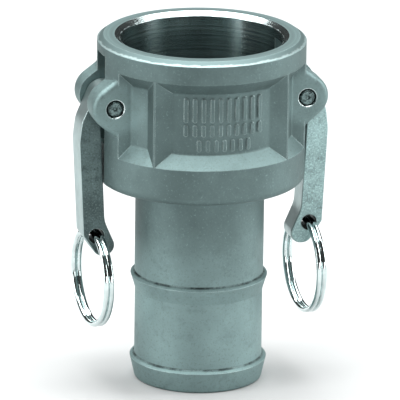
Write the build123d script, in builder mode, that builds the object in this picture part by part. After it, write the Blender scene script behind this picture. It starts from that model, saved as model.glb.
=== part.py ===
from build123d import *
from math import acos, atan2, cos, hypot, radians, sin, sqrt
import os

# A two-inch cam-and-groove coupler: a socket with two cam arms, on a barbed hose shank.
# Millimetres. +Z runs up the socket's axis, the arms are on +X and -X, and z = 0 is the
# shank's end. Every height in the socket is a distance below its top face.

# Overall
overall_height = 139.7
socket_height = 58.3  # top face to the socket's underside

# Hose shank
shank_radius = 25.4
shank_wall = 3.2
shank_relief = 0.2  # the shank below the upper barb is this much smaller
barb_height = 1.6
barb_taper = 6.0
barb_step = 1.2
lower_barb = 8.3
upper_barb = 42.3
shank_tip_drop = 0.1
shank_tip_round = 1.0
shank_root_round = 2.0

# Socket bore and mouth
bore_radius = 31.9
mouth_step = 2.3
mouth_depth = 1.6
mouth_land = 4.3  # flat ring round the mouth
bevel_height = 1.8

# Socket outside
socket_wall = 9.15  # bore to the outside of both bands
recess_wall = 4.4  # bore to the floor of the cast recess
upper_band = 9.1
recess_top = 14.2
recess_low = 38.4
lower_band = 43.8
underside_round = 3.0
recess_round = 1.2
rim_round = 0.5  # along the recess's upper and lower rims
rim_gap = 0.02  # the rounding's edge stands this far off the bands

# Ridges beside the front and back panels, as angles from the Y axis
ridge_inner_foot = 32.5
ridge_inner_crest = 40.4
ridge_outer_crest = 41.5
ridge_outer_foot = 49.3

# Rows of raised upright bars on the front and back panels: how many, how tall, middle below the top
bar_rows = ((10, 9.6, 20.6), (10, 4.6, 28.8), (7, 4.6, 34.9))
bar_width = 1.5
bar_pitch = 3.3
bar_relief = 0.6

# Gasket and its groove
socket_floor = 53.2  # top face to the gasket's seat
gasket_thickness = 6.35
gasket_lip = 3.2  # gasket bore beyond the flow bore
gasket_overlap = 1.45  # gasket edge beyond the socket bore
gasket_gap = 0.15
groove_headroom = 0.45
gasket_round = 0.5

# Pins and lugs
pin_radius = 3.175
pin_drop = 23.55
pin_inset = 2.3  # pin axis inside the bands' radius
pin_end_round = 1.0
pin_dimple_radius = 0.9
pin_dimple_depth = 0.5
pin_seat_chamfer = 0.6
lug_radius = 8.9
lug_thickness = 10.2
lug_round = 2.5
lug_head = 11.9  # pin axis up to where the lug's outline turns up its pad
lug_head_round = 5.0
lug_foot = 12.5  # and down to where it turns down the pad
lug_foot_round = 4.5

# Slots for the arms
arm_side_gap = 0.5
slot_top = 4.9
slot_low = 42.0
channel_depth = 1.55

# Cam arms, placed from the pin axis: outwards, then up, with the arm closed
arm_thickness = 11.6
arm_edge_round = 0.5
pin_clearance = 0.05
eye_bore_gap = 0.25  # the open arm's eye stays this far out of the socket bore
cam_bite = 2.85  # the closed cam's reach inside the socket bore
cam_nose_radius = 4.6
cam_drop_angle = 12.0
shoulder = (10.7, -8.0)
shoulder_round = 12.0
elbow = (11.65, -16.0)
elbow_round = 20.0
heel = (9.75, -54.25)
heel_round = 1.0
toe_outer = (4.15, -62.85)
toe_inner = (-5.0, -62.85)
toe_round = 4.1
neck = (1.17, -48.8)
neck_round = 12.0
lever_root = (3.53, -1.0)
ring_hole = (4.45, -54.55)
ring_hole_chamfer = 0.3

# Finger rings: two coils of round wire side by side
ring_radius = 19.9
wire_radius = 1.1
coil_squeeze = 0.05  # each coil's wire reaches this far into the other's
ring_twist = 6.0
ring_clearance = 0.2  # wire to the wall of the hole, at the hole's ends
ring_split_angles = (46.0, 70.0)  # each coil's free end, up from the rear
ring_split_gap = 0.6

# Worked-out places
past = 5.0  # how far cutting shapes run past what they cut
top = overall_height
underside = top - socket_height
floor = top - socket_floor
band_radius = bore_radius + socket_wall
recess_radius = bore_radius + recess_wall
mouth_radius = bore_radius + mouth_step
flow_radius = shank_radius - shank_wall
gasket_outer = bore_radius + gasket_overlap
groove_radius = gasket_outer + gasket_gap
pin_x = band_radius - pin_inset
pin_z = top - pin_drop
slot_half = arm_thickness / 2 + arm_side_gap
lug_face = slot_half + lug_thickness
eye_radius = socket_wall - pin_inset - eye_bore_gap
pad_edge = sqrt(band_radius**2 - lug_face**2)
cam_reach = pin_x - (bore_radius - cam_bite)
hole_x = pin_x + ring_hole[0]
hole_z = pin_z + ring_hole[1]
coil_radius = ring_radius - wire_radius
coil_offset = wire_radius - coil_squeeze
ring_arch = coil_radius - sqrt(coil_radius**2 - (arm_thickness / 2) ** 2)  # rise inside the hole
ring_drift = coil_offset + arm_thickness / 2 * sin(radians(ring_twist))
ring_hole_radius = hypot(ring_drift, ring_arch / 2) + wire_radius + ring_clearance

headings = {"right": 0, "left": 180}  # each side's turn about Z

os.makedirs("parts", exist_ok=True)


def polar(radius, angle_from_y):
    """Point at a radius and an angle from the -Y axis towards +X."""
    return (radius * sin(radians(angle_from_y)), -radius * cos(radians(angle_from_y)))


def at_radius(radius):
    """Test for an edge that lies all along at one radius from Z."""
    return lambda edge: all(
        abs(hypot((edge @ t).X, (edge @ t).Y) - radius) < 0.01 for t in (0, 0.5, 1)
    )


def side_plane(heading):
    """Vertical plane through Z whose x points outwards along one arm."""
    return Plane.XZ.rotated((0, 0, heading))


def recess_windows():
    """The cast recess between the two bands, without the ridges and lug pads that stand in it."""
    rim = band_radius + rim_gap
    # Each corner: radius, height, corner rounding
    outline = [
        (recess_radius, top - recess_low, 0),
        (recess_radius, top - recess_top, 0),
        (rim, top - upper_band, rim_round),
        (rim, top - upper_band + 2 * rim_round, 0),
        (band_radius + past, top - upper_band + 2 * rim_round, 0),
        (band_radius + past, top - lower_band - 2 * rim_round, 0),
        (rim, top - lower_band - 2 * rim_round, 0),
        (rim, top - lower_band, rim_round),
    ]
    with BuildPart() as windows:
        with BuildSketch(Plane.XZ):
            with BuildLine():
                FilletPolyline(
                    *[(r, z) for r, z, _ in outline],
                    radius=[rounding for _, _, rounding in outline],
                    close=True,
                )
            make_face()
        revolve(axis=Axis.Z)

        # Ridges at the ends of the front and back panels
        with BuildSketch(Plane.XY):
            with BuildLine():
                Polyline(
                    polar(recess_radius - past, ridge_inner_foot),
                    polar(recess_radius, ridge_inner_foot),
                    polar(band_radius, ridge_inner_crest),
                    polar(band_radius + 2 * past, ridge_inner_crest),
                    polar(band_radius + 2 * past, ridge_outer_crest),
                    polar(band_radius, ridge_outer_crest),
                    polar(recess_radius, ridge_outer_foot),
                    polar(recess_radius - past, ridge_outer_foot),
                    close=True,
                )
            make_face()
            mirror(about=Plane.YZ)
            mirror(about=Plane.XZ)
        extrude(amount=top + past, mode=Mode.SUBTRACT)

        # Pads behind the lugs
        with BuildSketch(Plane.XY):
            Rectangle(2 * (band_radius + 2 * past), 2 * lug_face)
        extrude(amount=top + past, mode=Mode.SUBTRACT)

        fillet(windows.edges().filter_by(at_radius(recess_radius)), radius=recess_round)
    return windows.part


def coupler_body(windows, lugs, bars):
    """Socket and hose shank as one casting."""
    relieved = shank_radius - shank_relief
    # Each corner: radius, height, corner rounding
    outside = [
        (0, 0, 0),
        (relieved - shank_tip_drop, 0, shank_tip_round),
        (shank_radius + barb_height, lower_barb, 0),
        (relieved, lower_barb + barb_step, 0),
        (relieved, upper_barb - barb_taper, 0),
        (shank_radius + barb_height, upper_barb, 0),
        (shank_radius, upper_barb + barb_step, 0),
        (shank_radius, underside, shank_root_round),
        (band_radius, underside, underside_round),
        (band_radius, top - bevel_height, 0),
        (mouth_radius + mouth_land, top, 0),
        (0, top, 0),
    ]
    inside = [
        (0, -past),
        (flow_radius, -past),
        (flow_radius, floor),
        (groove_radius, floor),
        (groove_radius, floor + gasket_thickness + groove_headroom),
        (bore_radius, floor + gasket_thickness + groove_headroom),
        (bore_radius, top - mouth_depth),
        (mouth_radius, top),
        (mouth_radius, top + past),
        (0, top + past),
    ]
    with BuildPart() as body:
        with BuildSketch(Plane.XZ):
            with BuildLine():
                FilletPolyline(
                    *[(r, z) for r, z, _ in outside],
                    radius=[rounding for _, _, rounding in outside],
                    close=True,
                )
            make_face()
        revolve(axis=Axis.Z)

        add(windows, mode=Mode.SUBTRACT)
        add(lugs)
        add(bars)

        # Slots through the wall, and the shallow channels under them
        with BuildSketch(Plane.XZ):
            with Locations((0, top - (slot_top + slot_low) / 2)):
                Rectangle(2 * (pin_x + lug_radius + past), slot_low - slot_top)
        extrude(amount=slot_half, both=True, mode=Mode.SUBTRACT)
        with BuildSketch(Plane.XY.offset(underside - past)):
            channel_x = band_radius - channel_depth + past / 2
            with Locations((channel_x, 0), (-channel_x, 0)):
                Rectangle(past, 2 * slot_half)
        extrude(amount=socket_height - slot_low + 2 * past, mode=Mode.SUBTRACT)

        # Mouth, socket bore, gasket groove and flow bore
        with BuildSketch(Plane.XZ):
            with BuildLine():
                Polyline(*inside, close=True)
            make_face()
        revolve(axis=Axis.Z, mode=Mode.SUBTRACT)

        # Pin holes with a chamfered seat
        with BuildSketch(Plane.XZ):
            with Locations((pin_x, pin_z), (-pin_x, pin_z)):
                Circle(pin_radius)
        extrude(amount=lug_face + past, both=True, mode=Mode.SUBTRACT)
        for end in (lug_face, -lug_face):
            with BuildSketch(Plane.XZ.offset(end)):
                with Locations((pin_x, pin_z), (-pin_x, pin_z)):
                    Circle(pin_radius + pin_seat_chamfer)
            inwards = -pin_seat_chamfer if end > 0 else pin_seat_chamfer
            extrude(amount=inwards, taper=45, mode=Mode.SUBTRACT)
    body.part.label = "coupler_body"
    return body.part


def touch_point(radius, outside, turn):
    """Where a line from an outside point touches a circle about the origin.

    turn is +1 for the touch anticlockwise of the point, and -1 for the other one.
    """
    reach = hypot(*outside)
    angle = atan2(outside[1], outside[0]) + turn * acos(radius / reach)
    return (radius * cos(angle), radius * sin(angle))


def from_pin(point):
    """A place given from the pin axis, in the side plane's own axes."""
    return (pin_x + point[0], pin_z + point[1])


def lug_blocks():
    """Both pairs of lugs with the pads behind them as solid blocks, before the slots part them."""
    head = (pad_edge - pin_x, lug_head)
    foot = (pad_edge - pin_x, -lug_foot)
    block_top = top - upper_band + past
    block_low = top - lower_band - past
    with BuildPart() as lugs:
        with BuildSketch(Plane.XZ) as outline:
            with BuildLine():
                rim = ThreePointArc(
                    from_pin(touch_point(lug_radius, foot, 1)),
                    from_pin((lug_radius, 0)),
                    from_pin(touch_point(lug_radius, head, -1)),
                )
                Polyline(
                    rim @ 1,
                    from_pin(head),
                    (pad_edge, block_top),
                    (pad_edge - 2 * past, block_top),
                    (pad_edge - 2 * past, block_low),
                    (pad_edge, block_low),
                    from_pin(foot),
                    rim @ 0,
                )
            make_face()
            for corner, rounding in ((head, lug_head_round), (foot, lug_foot_round)):
                place = Vector(*from_pin(corner), 0)
                fillet(outline.vertices().sort_by_distance(place)[0], radius=rounding)
        extrude(amount=lug_face, both=True)
        fillet(lugs.faces().filter_by(Axis.Y).edges(), radius=lug_round)
        mirror(about=Plane.YZ)
    return lugs.part


def panel_bars():
    """Rows of raised bars that stand on the floor of the front and back panels."""
    with BuildPart() as bars:
        with BuildSketch(Plane.XZ):
            for count, height, drop in bar_rows:
                with Locations((0, top - drop)), GridLocations(bar_pitch, 1, count, 1):
                    RectangleRounded(bar_width, height, bar_width * 0.45)
        extrude(amount=band_radius, both=True)
        with BuildSketch(Plane.XY):
            Circle(recess_radius + bar_relief)
        extrude(amount=top, mode=Mode.INTERSECT)
    return bars.part


def gasket_ring():
    """Flat rubber gasket that lies on the socket's floor."""
    with BuildPart() as gasket:
        with BuildSketch(Plane.XZ):
            inner = flow_radius + gasket_lip
            middle = (inner + gasket_outer) / 2
            with Locations((middle, floor + gasket_thickness / 2)):
                RectangleRounded(gasket_outer - inner, gasket_thickness, gasket_round)
        revolve(axis=Axis.Z)
    gasket.part.label = "gasket"
    return gasket.part


def arm_pin(side):
    """Pin with rounded ends, each with a small centre dimple."""
    axis_plane = side_plane(headings[side])
    with BuildPart() as pin:
        with BuildSketch(axis_plane):
            with Locations((pin_x, pin_z)):
                Circle(pin_radius)
        extrude(amount=lug_face, both=True)
        fillet(pin.edges().filter_by(GeomType.CIRCLE), radius=pin_end_round)
        for end in (lug_face, -lug_face):
            with BuildSketch(axis_plane.offset(end)):
                with Locations((pin_x, pin_z)):
                    Circle(pin_dimple_radius)
            inwards = -pin_dimple_depth if end > 0 else pin_dimple_depth
            extrude(amount=inwards, taper=30, mode=Mode.SUBTRACT)
    pin.part.label = f"{side}_pin"
    return pin.part


def cam_arm(side):
    """Lever with an eye on the pin, a cam lobe, and a hole for its ring near the toe."""
    arm_plane = side_plane(headings[side])
    drop = radians(180 + cam_drop_angle)
    nose_out = cam_reach - cam_nose_radius
    nose = (nose_out * cos(drop), nose_out * sin(drop))
    spread = acos((eye_radius - cam_nose_radius) / nose_out)
    flank = [
        (r * cos(drop + turn) + nose[0] * at_nose, r * sin(drop + turn) + nose[1] * at_nose)
        for r, turn, at_nose in (
            (eye_radius, -spread, 0),
            (cam_nose_radius, -spread, 1),
            (cam_nose_radius, spread, 1),
            (eye_radius, spread, 0),
        )
    ]
    lever = [
        (touch_point(eye_radius, shoulder, 1), 0),
        (shoulder, shoulder_round),
        (elbow, elbow_round),
        (heel, heel_round),
        (toe_outer, toe_round),
        (toe_inner, toe_round),
        (neck, neck_round),
        (lever_root, 0),
    ]
    with BuildPart() as arm:
        with BuildSketch(arm_plane):
            # Lever and toe
            with BuildLine():
                FilletPolyline(
                    *[from_pin(corner) for corner, _ in lever],
                    radius=[rounding for _, rounding in lever],
                    close=True,
                )
            make_face()
            # Eye and cam lobe
            with Locations(from_pin((0, 0))):
                Circle(eye_radius)
            with Locations(from_pin(nose)):
                Circle(cam_nose_radius)
            with BuildLine():
                Polyline(*[from_pin(corner) for corner in flank], close=True)
            make_face()
        extrude(amount=arm_thickness / 2, both=True)
        fillet(arm.faces().filter_by(Axis.Y).edges(), radius=arm_edge_round)

        # Pin bore, and the ring's hole with a wide chamfer at each end
        with BuildSketch(arm_plane):
            with Locations(from_pin((0, 0))):
                Circle(pin_radius + pin_clearance)
            with Locations(from_pin(ring_hole)):
                Circle(ring_hole_radius)
        extrude(amount=arm_thickness, both=True, mode=Mode.SUBTRACT)
        hole_mouths = arm.edges().filter_by(GeomType.CIRCLE).filter_by(
            lambda e: abs(e.radius - ring_hole_radius) < 0.01
        )
        chamfer(hole_mouths, length=ring_hole_chamfer)
    arm.part.label = f"{side}_cam_arm"
    return arm.part


def finger_ring(side):
    """Split ring of two coils, hanging through its arm's hole."""
    turn = radians(ring_twist)
    outwards = 1 if side == "right" else -1
    ring_axis = Vector(cos(turn), sin(turn), 0)
    rearwards = Vector(-sin(turn), cos(turn), 0)
    hang = Vector(outwards * hole_x, 0, hole_z + ring_arch / 2 - coil_radius)
    section = Plane(hang, x_dir=ring_axis, z_dir=-rearwards)
    face_plane = Plane(hang, x_dir=rearwards, z_dir=ring_axis)
    with BuildPart() as ring:
        with BuildSketch(section):
            with Locations((coil_offset, coil_radius), (-coil_offset, coil_radius)):
                Circle(wire_radius)
        revolve(axis=Axis(hang, ring_axis))
        # Each coil's free end
        for face, angle in zip((-1, 1), ring_split_angles):
            with BuildSketch(face_plane):
                with PolarLocations(coil_radius, 1, start_angle=angle):
                    Rectangle(3 * wire_radius, ring_split_gap)
            extrude(amount=face * 3 * wire_radius, mode=Mode.SUBTRACT)
    ring.part.label = f"{side}_finger_ring"
    return ring.part


pieces = [coupler_body(recess_windows(), lug_blocks(), panel_bars()), gasket_ring()]
for side in headings:
    pieces += [arm_pin(side), cam_arm(side), finger_ring(side)]

for piece in pieces:
    export_step(piece, f"parts/{piece.label}.step")
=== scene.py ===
"""Looks for a cam-and-groove hose coupling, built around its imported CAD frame.

Metres, in the frame's own axes: +Z up the socket, the arms on +X and -X, the base on z = 0.
"""

import math

import bpy
from mathutils import Matrix, Vector


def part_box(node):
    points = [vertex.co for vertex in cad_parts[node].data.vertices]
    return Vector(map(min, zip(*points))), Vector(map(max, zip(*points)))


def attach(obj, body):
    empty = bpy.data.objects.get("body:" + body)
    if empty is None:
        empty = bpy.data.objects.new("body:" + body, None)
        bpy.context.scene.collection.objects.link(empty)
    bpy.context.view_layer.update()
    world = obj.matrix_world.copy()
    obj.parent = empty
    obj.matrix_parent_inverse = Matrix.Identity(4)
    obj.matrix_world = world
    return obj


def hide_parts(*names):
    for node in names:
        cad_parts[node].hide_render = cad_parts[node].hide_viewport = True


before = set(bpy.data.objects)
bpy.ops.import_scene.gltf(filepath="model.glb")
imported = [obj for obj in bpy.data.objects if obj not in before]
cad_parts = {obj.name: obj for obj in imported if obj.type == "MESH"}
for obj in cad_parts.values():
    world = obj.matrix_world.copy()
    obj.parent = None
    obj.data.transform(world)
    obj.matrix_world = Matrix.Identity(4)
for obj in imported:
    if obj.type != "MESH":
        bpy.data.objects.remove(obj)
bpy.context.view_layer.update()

MM = 0.001

# ---------------------------------------------------------------- sizes

# From the frame
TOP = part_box("coupler_body")[1].z
GASKET_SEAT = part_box("gasket")[0].z

# The socket's turned surfaces, as the CAD has them
BORE_RADIUS = 31.9 * MM
MOUTH_RADIUS = 34.2 * MM
BEVEL_FOOT = TOP - 1.8 * MM

# Pins, their polished seats in the lugs, and the gap round each pin, painted dark as shade
PIN_X = 38.75 * MM
PIN_Z = 116.15 * MM
SEAT_RADIUS = 3.95 * MM
GAP_RADIUS = 3.45 * MM

# Ring holes in the arms
HOLE_X = 43.2 * MM
HOLE_Z = 61.6 * MM
HOLE_RADIUS = 3.05 * MM

# Where each barb's top meets the shank
LOWER_CREASE = 9.4 * MM
UPPER_CREASE = 43.4 * MM

# Painted light: the cast skin is painted palest near the shank's end and darkest from the upper barb
# up
PALE_BELOW = 28 * MM
DEEP_ABOVE = 78 * MM

# Finger rings: one wire wound twice round
WIRE_RADIUS = 1.1 * MM
COIL_OFFSET = 1.05 * MM  # each coil's middle from the ring's middle
RING_TWIST = math.radians(6)
STEP_START, STEP_END = 46, 70  # the wire changes coils here, in degrees up from the rear
END_GAP = 3  # each free end stops this many degrees short of the step
WIRE_POINTS = 400

# Painted light: how bright each arm's cast faces are painted, for how the light falls on them, though
# the two arms are alike
ARM_PAINTED_LIGHT = {"right": 1.65, "left": 0.52}

FLOOR_RADIUS = 2.6
FLOOR_SIDES = 96

# Softboxes: location, size and watts, all aimed at one point
SOFTBOXES = {
    "top_softbox": ((0.0, 0.3, 2.4), (3.0, 3.0), 190),
    "left_softbox": ((-1.4, -0.2, 0.5), (0.5, 1.2), 13),
    "right_softbox": ((1.4, -0.3, 0.5), (0.5, 1.2), 15),
    "front_softbox": ((0.5, -2.0, 0.3), (0.9, 0.5), 7),
}
LIT_POINT = (0, 0, 0.08)

# Camera: left of straight ahead, above the horizon, and far enough off to look nearly flat
CAMERA_AZIMUTH = math.radians(-14.87)
CAMERA_HEIGHT = math.radians(17.1)
CAMERA_ROLL = math.radians(-0.778)
CAMERA_DISTANCE = 3.2
AIM_HEIGHT = 71.85 * MM
AIM_SIDE = 0.096 * MM
PIXELS_PER_METRE = 2540.5  # at the aimed point
IMAGE_WIDTH = 400
SENSOR_WIDTH = 36


# ---------------------------------------------------------------- node helpers


class Nodes:
    """A material's node tree, with short calls for the nodes that the finishes share."""

    def __init__(self, name):
        self.material = bpy.data.materials.new(name)
        self.material.use_nodes = True
        self.tree = self.material.node_tree
        self.shader = self.tree.nodes["Principled BSDF"]
        coordinates = self.add("ShaderNodeTexCoord")
        self.place = coordinates.outputs["Object"]
        self.facing = coordinates.outputs["Normal"]

    def add(self, kind, **settings):
        node = self.tree.nodes.new(kind)
        for key, value in settings.items():
            setattr(node, key, value)
        return node

    def put(self, socket, value):
        """Links an output to a socket, or sets a plain value on it."""
        if isinstance(value, bpy.types.NodeSocket):
            self.tree.links.new(value, socket)
        else:
            socket.default_value = value

    def math(self, operation, a, b=0.0):
        node = self.add("ShaderNodeMath", operation=operation)
        for socket, value in zip(node.inputs, (a, b)):
            self.put(socket, value)
        return node.outputs[0]

    def times(self, a, b):
        return self.math("MULTIPLY", a, b)

    def most(self, a, b):
        return self.math("MAXIMUM", a, b)

    def away(self, value, centre):
        """How far a value is from a centre, either way."""
        return self.math("ABSOLUTE", self.math("SUBTRACT", value, centre))

    def hypotenuse(self, a, b):
        return self.math("SQRT", self.math("ADD", self.times(a, a), self.times(b, b)))

    def from_pivot(self, x, z, pivot_x, pivot_z):
        """Distance from the nearer of two axes along Y, at +pivot_x and -pivot_x."""
        out = self.math("SUBTRACT", self.math("ABSOLUTE", x), pivot_x)
        return self.hypotenuse(out, self.math("SUBTRACT", z, pivot_z))

    def vector(self, x, y, z):
        node = self.add("ShaderNodeCombineXYZ")
        for socket, value in zip(node.inputs, (x, y, z)):
            self.put(socket, value)
        return node.outputs[0]

    def axes(self, vector):
        node = self.add("ShaderNodeSeparateXYZ")
        self.put(node.inputs[0], vector)
        return node.outputs

    def noise(self, size, detail=3.0, rough=0.55, place=None):
        """Noise from 0 to 1 whose blotches are about size metres across."""
        node = self.add("ShaderNodeTexNoise")
        self.put(node.inputs["Vector"], self.place if place is None else place)
        node.inputs["Scale"].default_value = 0.5 / size
        node.inputs["Detail"].default_value = detail
        node.inputs["Roughness"].default_value = rough
        return node.outputs["Fac"]

    def remap(self, value, low, high, to_low=0.0, to_high=1.0, curve="SMOOTHSTEP"):
        """Value from low..high onto to_low..to_high, clamped."""
        node = self.add("ShaderNodeMapRange", interpolation_type=curve)
        self.put(node.inputs["Value"], value)
        limits = {"From Min": low, "From Max": high, "To Min": to_low, "To Max": to_high}
        for key, number in limits.items():
            self.put(node.inputs[key], number)
        return node.outputs["Result"]

    def mix(self, factor, a, b, data="RGBA", socket_type="RGBA"):
        """Colours mixed by a factor."""
        node = self.add("ShaderNodeMix", data_type=data)
        self.put(node.inputs["Factor"], factor)
        for key, value in (("A", a), ("B", b)):
            socket = next(s for s in node.inputs if s.name == key and s.type == socket_type)
            self.put(socket, value)
        return next(s for s in node.outputs if s.type == socket_type)

    def blend(self, factor, a, b):
        """Numbers mixed by a factor."""
        return self.mix(factor, a, b, "FLOAT", "VALUE")

    def mottle(self, noise, a, b, low=0.3, high=0.7):
        """Two colours in patches that follow a noise."""
        return self.mix(self.remap(noise, low, high), a, b)

    def bump(self, height, depth, strength=1.0, normal=None):
        """Bump whose height of 0 to 1 stands for depth metres."""
        node = self.add("ShaderNodeBump")
        self.put(node.inputs["Strength"], strength)
        self.put(node.inputs["Distance"], depth)
        self.put(node.inputs["Height"], height)
        if normal is not None:
            self.put(node.inputs["Normal"], normal)
        return node.outputs["Normal"]

    def soft_edges(self, radius):
        """Normals rounded over every edge, by that radius."""
        node = self.add("ShaderNodeBevel", samples=6)
        node.inputs["Radius"].default_value = radius
        return node.outputs["Normal"]

    def sharp_edge_mask(self, rounded):
        """1 on a sharp edge and 0 on open faces, from the rounded normals."""
        geometry = self.add("ShaderNodeNewGeometry")
        dot = self.add("ShaderNodeVectorMath", operation="DOT_PRODUCT")
        self.put(dot.inputs[0], rounded)
        self.put(dot.inputs[1], geometry.outputs["Normal"])
        return self.remap(dot.outputs["Value"], 0.995, 0.90)

    def finish(self, colour, roughness, normal, metallic=1.0):
        self.put(self.shader.inputs["Base Color"], colour)
        self.put(self.shader.inputs["Roughness"], roughness)
        self.put(self.shader.inputs["Normal"], normal)
        self.put(self.shader.inputs["Metallic"], metallic)
        return self.material


def grey(level, tint=1.0):
    """A metal grey of that brightness, slightly blue-green."""
    return (level * (1 - 0.29 * tint), level, level * (1 - 0.005 * tint), 1.0)


# ---------------------------------------------------------------- finishes


def cast_skin(n, z, from_pin, stains, grain):
    """Skin's colour: cloudy and sandy, paler on the lugs, and with painted light paler on
    upward-facing ledges and down the shank.
    """
    clouds = n.noise(13 * MM, 4.0)
    pale = n.mottle(clouds, grey(0.32), grey(0.39))
    deep = n.mottle(clouds, grey(0.165), grey(0.22))
    shank_painted_light = n.remap(z, DEEP_ABOVE, PALE_BELOW)
    on_lug = n.remap(from_pin, 13 * MM, 8 * MM, 0.0, 0.55)
    # Painted light: faces turned upwards painted paler
    facing_up_light = n.remap(n.axes(n.facing)[2], 0.25, 0.6, 0.0, 0.6)
    # Painted light: paler down the shank; also paler on the lugs
    skin = n.mix(n.most(shank_painted_light, on_lug), deep, pale)
    skin = n.mix(facing_up_light, skin, grey(0.40))
    skin = n.mix(n.remap(stains, 0.50, 0.75, 0.0, 0.35), skin, grey(0.15))
    skin = n.mix(n.remap(grain, 0.30, 0.50, 0.4, 0.0), skin, grey(0.12))
    return n.mix(n.remap(grain, 0.55, 0.78, 0.0, 0.6), skin, grey(0.45))


def cast_socket():
    """Cast body: turned dull on the land and bevel, turned bright on the chamfer and in the bore."""
    n = Nodes("cast_steel")
    x, y, z = n.axes(n.place)
    radius = n.hypotenuse(x, y)
    from_pin = n.from_pivot(x, z, PIN_X, PIN_Z)

    stains = n.noise(3.5 * MM, 5.0, 0.65)
    grain = n.noise(0.42 * MM, 3.0, 0.7)
    skin = cast_skin(n, z, from_pin, stains, grain)

    # Painted shade in the creases above the barbs, in broken lengths
    from_crease = n.math("MINIMUM", n.away(z, LOWER_CREASE), n.away(z, UPPER_CREASE))
    crease_shade = n.times(n.remap(from_crease, 0.6 * MM, 0.1 * MM), n.remap(stains, 0.40, 0.60, 0.35, 1.0))

    # Turned metal: rings round the axis
    round_axis = n.vector(radius, 0.0, z)
    rings = n.noise(0.16 * MM, 4.0, 0.75, round_axis)
    coarse_rings = n.noise(0.9 * MM, 4.0, 0.7, round_axis)
    bright = n.mottle(rings, grey(0.42, 0.5), grey(0.75, 0.5))
    dull = n.mottle(coarse_rings, grey(0.16), grey(0.23), 0.35, 0.65)

    # The dull turning's edge wanders a little on the bevel, with a thin bright line along it
    wander = n.remap(n.noise(1.6 * MM, 4.0, 0.7), 0.25, 0.75, -0.35 * MM, 0.35 * MM, "LINEAR")
    height = n.math("ADD", z, wander)
    over_bevel = n.remap(height, BEVEL_FOOT + 0.2 * MM, BEVEL_FOOT + 0.5 * MM)
    edge_line = n.remap(n.away(height, BEVEL_FOOT + 0.35 * MM), 0.4 * MM, 0.1 * MM)

    # Where the metal is polished: bore, chamfer and pin seats
    in_bore = n.remap(radius, BORE_RADIUS + 0.3 * MM, BORE_RADIUS + 0.1 * MM)
    in_bore = n.times(in_bore, n.remap(z, GASKET_SEAT - 0.2 * MM, GASKET_SEAT))
    in_mouth = n.times(n.remap(radius, MOUTH_RADIUS + 0.1 * MM, MOUTH_RADIUS), over_bevel)
    in_seat = n.remap(from_pin, SEAT_RADIUS, SEAT_RADIUS - 0.1 * MM)
    # Painted shade: the gap round each pin
    gap_shade = n.remap(from_pin, GAP_RADIUS + 0.1 * MM, GAP_RADIUS)
    polished = n.most(in_bore, n.most(in_mouth, in_seat))

    rounded = n.soft_edges(0.45 * MM)
    # Sharp edges painted brighter in broken lengths: partly rubbed metal, partly painted highlight
    wear_and_highlight_places = n.remap(n.noise(2.5 * MM, 4.0, 0.7), 0.42, 0.66, 0.3, 0.8)
    wear_and_highlight = n.times(n.sharp_edge_mask(rounded), wear_and_highlight_places)
    colour = n.mix(over_bevel, skin, dull)
    colour = n.mix(n.most(wear_and_highlight, n.times(edge_line, 0.4)), colour, grey(0.62, 0.6))
    colour = n.mix(polished, colour, bright)
    # Painted shade: near-black in the gap round each pin and in the creases above the barbs
    colour = n.mix(n.most(gap_shade, n.times(crease_shade, 0.85)), colour, grey(0.015))

    as_cast = n.math("SUBTRACT", 1.0, n.most(over_bevel, polished))
    normal = n.bump(n.noise(5 * MM, 3.0), 0.35 * MM, as_cast, rounded)
    normal = n.bump(grain, 0.07 * MM, as_cast, normal)
    normal = n.bump(rings, 0.05 * MM, polished, normal)
    normal = n.bump(coarse_rings, 0.03 * MM, n.times(over_bevel, 0.6), normal)

    cast_rough = n.remap(grain, 0.2, 0.8, 0.50, 0.68)
    dull_rough = n.remap(coarse_rings, 0.3, 0.7, 0.55, 0.68)
    bright_rough = n.remap(rings, 0.3, 0.7, 0.13, 0.22)
    roughness = n.blend(polished, n.blend(over_bevel, cast_rough, dull_rough), bright_rough)
    return n.finish(colour, roughness, normal)


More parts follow.
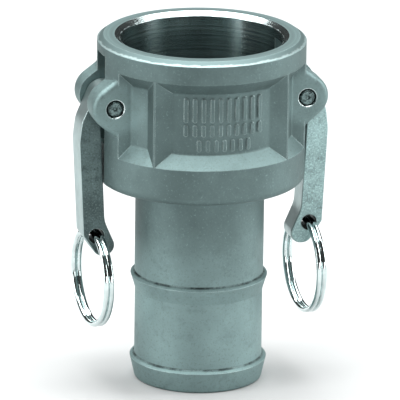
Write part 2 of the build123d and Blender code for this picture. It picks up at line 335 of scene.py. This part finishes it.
def cast_arm(name, light_tone):
    """Cast arm: a sandy, mottled face on both sides, painted brighter or darker for the light on that
    arm; smoother, brighter edges, brightened further along sharp edges by rubbing and by painted
    highlight; and a ring hole painted dark as shade.
    """
    n = Nodes(name)
    x, _, z = n.axes(n.place)
    on_face = n.remap(n.math("ABSOLUTE", n.axes(n.facing)[1]), 0.80, 0.97)
    from_hole = n.from_pivot(x, z, HOLE_X, HOLE_Z)
    hole_shade = n.remap(from_hole, HOLE_RADIUS + 0.15 * MM, HOLE_RADIUS)

    clouds = n.noise(7 * MM, 4.0)
    stains = n.noise(2.0 * MM, 5.0, 0.7)
    grain = n.noise(0.36 * MM, 3.0, 0.75)
    # Painted light: the face colours are scaled by this arm's painted light
    face = n.mottle(clouds, grey(0.21 * light_tone), grey(0.33 * light_tone))
    face = n.mix(n.remap(stains, 0.48, 0.72, 0.0, 0.7), face, grey(0.12 * light_tone))
    face = n.mix(n.remap(grain, 0.30, 0.50, 0.7, 0.0), face, grey(0.10 * light_tone))
    face = n.mix(n.remap(grain, 0.52, 0.72), face, grey(0.50 * light_tone))
    edge = n.mottle(clouds, grey(0.41, 0.7), grey(0.52, 0.7))

    rounded = n.soft_edges(0.4 * MM)
    # Sharp edges painted brighter in patches: partly rubbed metal, partly painted highlight
    wear_and_highlight = n.times(n.sharp_edge_mask(rounded), n.remap(stains, 0.35, 0.65, 0.1, 0.6))
    colour = n.mix(on_face, edge, face)
    colour = n.mix(wear_and_highlight, colour, grey(0.72, 0.5))
    # Painted shade: inside the ring hole painted near-black
    colour = n.mix(hole_shade, colour, grey(0.03))

    edge_rough = n.remap(stains, 0.2, 0.8, 0.34, 0.48)
    face_rough = n.remap(grain, 0.2, 0.8, 0.45, 0.65)
    normal = n.bump(grain, 0.06 * MM, n.remap(on_face, 0.0, 1.0, 0.25, 1.0), rounded)
    return n.finish(colour, n.blend(on_face, edge_rough, face_rough), normal)


def pin_metal():
    """Turned pin with a darker, scratched end."""
    n = Nodes("pin_steel")
    scratches = n.noise(0.5 * MM, 5.0, 0.7)
    colour = n.mottle(scratches, grey(0.05), grey(0.24), 0.35, 0.65)
    normal = n.bump(scratches, 0.05 * MM, 1.0, n.soft_edges(0.3 * MM))
    return n.finish(colour, n.remap(scratches, 0.2, 0.8, 0.22, 0.42), normal)


def ring_chrome():
    """Polished plated wire with faint drawing marks."""
    n = Nodes("ring_wire")
    patches = n.noise(3 * MM, 3.0, 0.6)
    colour = n.mottle(patches, grey(0.66, 0.4), grey(0.85, 0.4))
    normal = n.bump(n.noise(0.5 * MM, 3.0, 0.6), 0.006 * MM)
    return n.finish(colour, n.remap(patches, 0.3, 0.7, 0.06, 0.14), normal)


def gasket_rubber():
    """Matt black rubber with a faint bloom."""
    n = Nodes("rubber")
    bloom = n.noise(5 * MM, 4.0)
    colour = n.mottle(bloom, (0.012, 0.014, 0.014, 1), (0.035, 0.040, 0.040, 1), 0.35, 0.7)
    normal = n.bump(n.noise(0.5 * MM, 3.0), 0.04 * MM, 1.0, n.soft_edges(0.4 * MM))
    return n.finish(colour, n.remap(bloom, 0.3, 0.7, 0.55, 0.75), normal, 0.0)


def floor_paint():
    """Plain pale floor with a barely visible grain."""
    n = Nodes("pale_floor")
    n.shader.inputs["Specular IOR Level"].default_value = 0.2
    speckle = n.noise(30 * MM, 3.0)
    colour = n.mix(speckle, (0.47, 0.48, 0.48, 1), (0.50, 0.51, 0.51, 1))
    return n.finish(colour, 0.7, n.bump(speckle, 0.1 * MM), 0.0)


# ---------------------------------------------------------------- pieces


def new_object(name, data):
    """An object for that data, in the scene."""
    thing = bpy.data.objects.new(name, data)
    bpy.context.scene.collection.objects.link(thing)
    return thing


def dress(node, material):
    """Gives a CAD node its finish."""
    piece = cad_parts[node]
    piece.data.materials.clear()
    piece.data.materials.append(material)


def wire_route(centre, coil_radius):
    """The points of a split ring's wire: twice round, stepping from coil to coil behind its arm."""
    along_axis = Vector((math.cos(RING_TWIST), math.sin(RING_TWIST), 0))
    rearwards = Vector((-math.sin(RING_TWIST), math.cos(RING_TWIST), 0))
    first, last = STEP_END + END_GAP, STEP_START + 720 - END_GAP
    route = []
    for k in range(WIRE_POINTS):
        angle = first + (last - first) * k / (WIRE_POINTS - 1)
        share = (angle - 360 - STEP_START) / (STEP_END - STEP_START)
        share = min(1.0, max(0.0, share))
        share = share * share * (3 - 2 * share)
        turn = math.radians(angle)
        place = centre + rearwards * coil_radius * math.cos(turn)
        place += along_axis * COIL_OFFSET * (2 * share - 1)
        place.z += coil_radius * math.sin(turn)
        route.append(place)
    return route


def split_ring(side, material):
    """A finger ring as it is made, in place of its two plain coils."""
    low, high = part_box(f"{side}_finger_ring")
    curve = bpy.data.curves.new("ring_route", "CURVE")
    curve.dimensions = "3D"
    curve.bevel_depth = WIRE_RADIUS
    curve.bevel_resolution = 8
    curve.use_fill_caps = True
    spline = curve.splines.new("POLY")
    spline.points.add(WIRE_POINTS - 1)
    route = wire_route((low + high) / 2, (high.z - low.z) / 2 - WIRE_RADIUS)
    for point, place in zip(spline.points, route):
        point.co = (*place, 1)
    carrier = new_object("ring_route", curve)
    mesh = bpy.data.meshes.new_from_object(carrier)
    bpy.data.objects.remove(carrier)
    mesh.materials.clear()
    mesh.materials.append(material)
    mesh.shade_smooth()
    mesh.set_sharp_from_angle(angle=math.radians(50))
    piece = new_object(f"{side}_split_ring", mesh)
    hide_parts(f"{side}_finger_ring")
    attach(piece, f"{side}_ring")


dress("coupler_body", cast_socket())
dress("gasket", gasket_rubber())
pin_finish, ring_finish = pin_metal(), ring_chrome()
# Each arm gets its own finish, painted brighter or darker for the light
for side, light_tone in ARM_PAINTED_LIGHT.items():
    dress(f"{side}_cam_arm", cast_arm(f"{side}_arm_steel_painted_light", light_tone))
    dress(f"{side}_pin", pin_finish)
    split_ring(side, ring_finish)


# ---------------------------------------------------------------- floor, light and camera


def pale_floor():
    """A wide, flat, round floor on z = 0, where the object stands."""
    turns = [math.tau * k / FLOOR_SIDES for k in range(FLOOR_SIDES)]
    rim = [(FLOOR_RADIUS * math.cos(turn), FLOOR_RADIUS * math.sin(turn), 0.0) for turn in turns]
    mesh = bpy.data.meshes.new("floor")
    mesh.from_pydata(rim, [], [tuple(range(FLOOR_SIDES))])
    mesh.materials.append(floor_paint())
    floor = new_object("floor", mesh)


def studio_world():
    """A faint even light from all round."""
    world = bpy.data.worlds.new("studio")
    bpy.context.scene.world = world
    world.use_nodes = True
    background = world.node_tree.nodes["Background"]
    background.inputs["Color"].default_value = (0.95, 0.97, 0.97, 1)
    background.inputs["Strength"].default_value = 0.05


def softbox(name, location, size, power):
    light = bpy.data.lights.new(name, "AREA")
    light.shape = "RECTANGLE"
    light.size, light.size_y = size
    light.energy = power
    lamp = new_object(name, light)
    lamp.location = location
    aim = Vector(LIT_POINT) - Vector(location)
    lamp.rotation_euler = aim.to_track_quat("-Z", "Y").to_euler()


def add_camera():
    back = Vector((
        math.sin(CAMERA_AZIMUTH) * math.cos(CAMERA_HEIGHT),
        -math.cos(CAMERA_AZIMUTH) * math.cos(CAMERA_HEIGHT),
        math.sin(CAMERA_HEIGHT),
    ))
    level = Vector((math.cos(CAMERA_AZIMUTH), math.sin(CAMERA_AZIMUTH), 0))
    upright = back.cross(level)
    right = level * math.cos(CAMERA_ROLL) - upright * math.sin(CAMERA_ROLL)
    up = level * math.sin(CAMERA_ROLL) + upright * math.cos(CAMERA_ROLL)
    place = Vector((0, 0, AIM_HEIGHT)) + level * AIM_SIDE + back * CAMERA_DISTANCE
    camera = new_object("camera", bpy.data.cameras.new("camera"))
    camera.matrix_world = Matrix.LocRotScale(place, Matrix((right, up, back)).transposed(), None)
    camera.data.sensor_width = SENSOR_WIDTH
    camera.data.lens = PIXELS_PER_METRE * CAMERA_DISTANCE * SENSOR_WIDTH / IMAGE_WIDTH
    camera.data.clip_end = 50
    bpy.context.scene.camera = camera


pale_floor()
studio_world()
for name, (location, size, power) in SOFTBOXES.items():
    softbox(name, location, size, power)
add_camera()
bpy.context.scene.view_settings.view_transform = "Standard"
